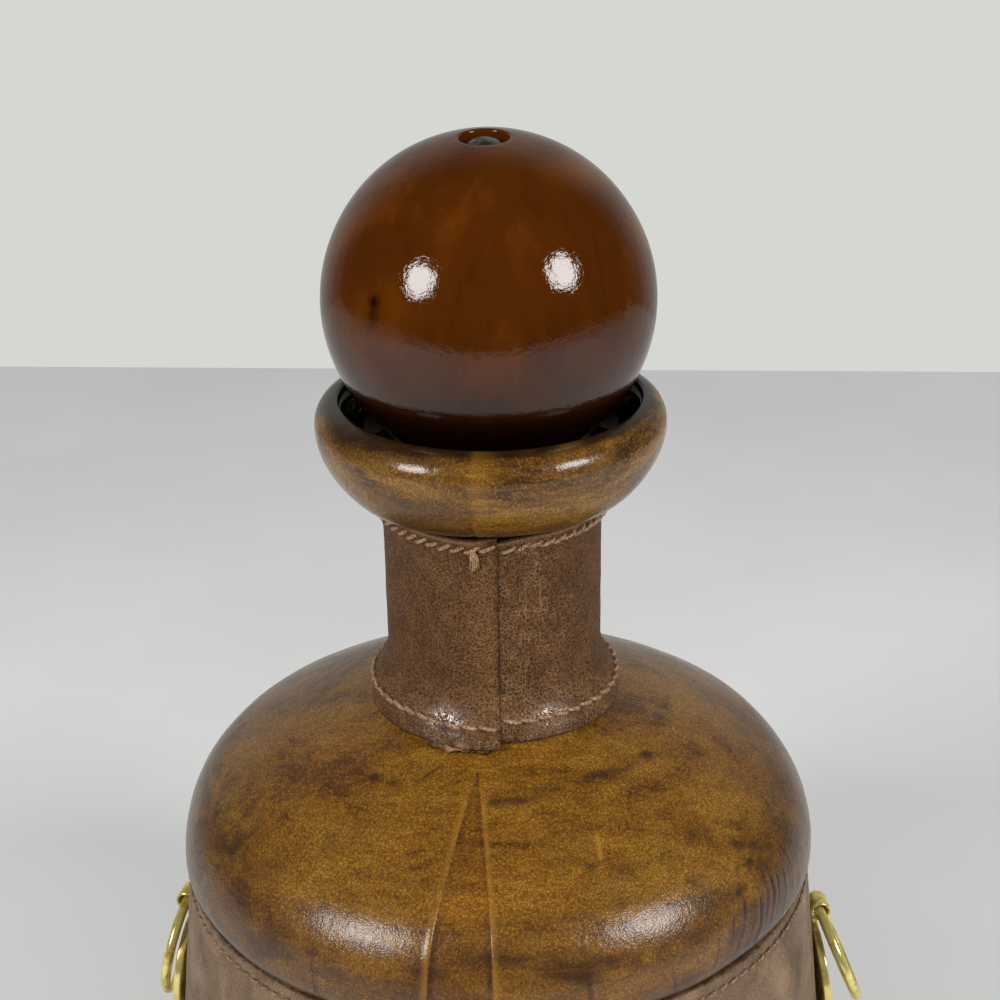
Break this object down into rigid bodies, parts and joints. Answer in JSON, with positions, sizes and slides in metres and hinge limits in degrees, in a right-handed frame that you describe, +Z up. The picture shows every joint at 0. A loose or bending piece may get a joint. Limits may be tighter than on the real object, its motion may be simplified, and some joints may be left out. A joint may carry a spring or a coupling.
{
  "type": "leather-wrapped decanter",
  "caption": "Squat glass decanter covered in wet-moulded leather, with a stitched neck collar, a belt with brass rings and a lacquered wooden ball stopper.",
  "frame": {"origin": "on the bottle's axis, at the table that the base pad stands on", "axes": "+Z up along the bottle's axis, -Y towards the front, where the gusset and the collar's lap are, +X towards the right-hand ring as seen from the front"},
  "size_m": [0.1628, 0.1488, 0.2512],
  "materials": {
    "dark_glass": "polished, nearly opaque brown",
    "body_leather": "wet-moulded, antiqued ochre brown, satin",
    "mouth_leather": "wet-moulded, polished, satin",
    "collar_leather": "crackled, dull with polished patches",
    "belt_leather": "dull, fine creases",
    "thread": "waxed linen",
    "base_felt": "felt",
    "lacquered_wood": "high gloss lacquer",
    "bare_wood": "sanded",
    "cork": "raw cork",
    "brass": "polished, lightly tarnished",
    "screw_steel": "dull"
  },
  "bodies": {
    "bottle": {"glass_bottle": "dark_glass", "upper_body_cover": "body_leather", "front_gusset": "body_leather", "lower_body_cover": "body_leather", "base_pad": "base_felt", "mouth_cover": "mouth_leather", "neck_collar": "collar_leather", "collar_top_thread": "thread", "collar_foot_thread": "thread", "belt": "belt_leather", "belt_top_thread": "thread", "belt_foot_thread": "thread", "right_eye_plate": "brass", "right_rivet_front": "brass", "right_rivet_back": "brass", "left_eye_plate": "brass", "left_rivet_front": "brass", "left_rivet_back": "brass"},
    "stopper": {"stopper_ball": "lacquered_wood", "stopper_screw": "screw_steel", "stopper_stem": "bare_wood", "stopper_cork": "cork"},
    "right_ring_body": {"right_ring": "brass"},
    "left_ring_body": {"left_ring": "brass"}
  },
  "joints": [
    {"name": "stopper_lift", "type": "slide", "parent": "bottle", "child": "stopper", "axis": [0, 0, 1], "range_m": [0, 0.06]},
    {"name": "right_ring_swing", "type": "hinge", "parent": "bottle", "child": "right_ring_body", "pos_m": [0.07326, 0.00512, 0.06998], "axis": [0.0698, -0.9976, 0], "range_deg": [-12, 133]},
    {"name": "left_ring_swing", "type": "hinge", "parent": "bottle", "child": "left_ring_body", "pos_m": [-0.07232, 0.01275, 0.06998], "axis": [0.1736, 0.9848, 0], "range_deg": [-1, 144]}
  ]
}
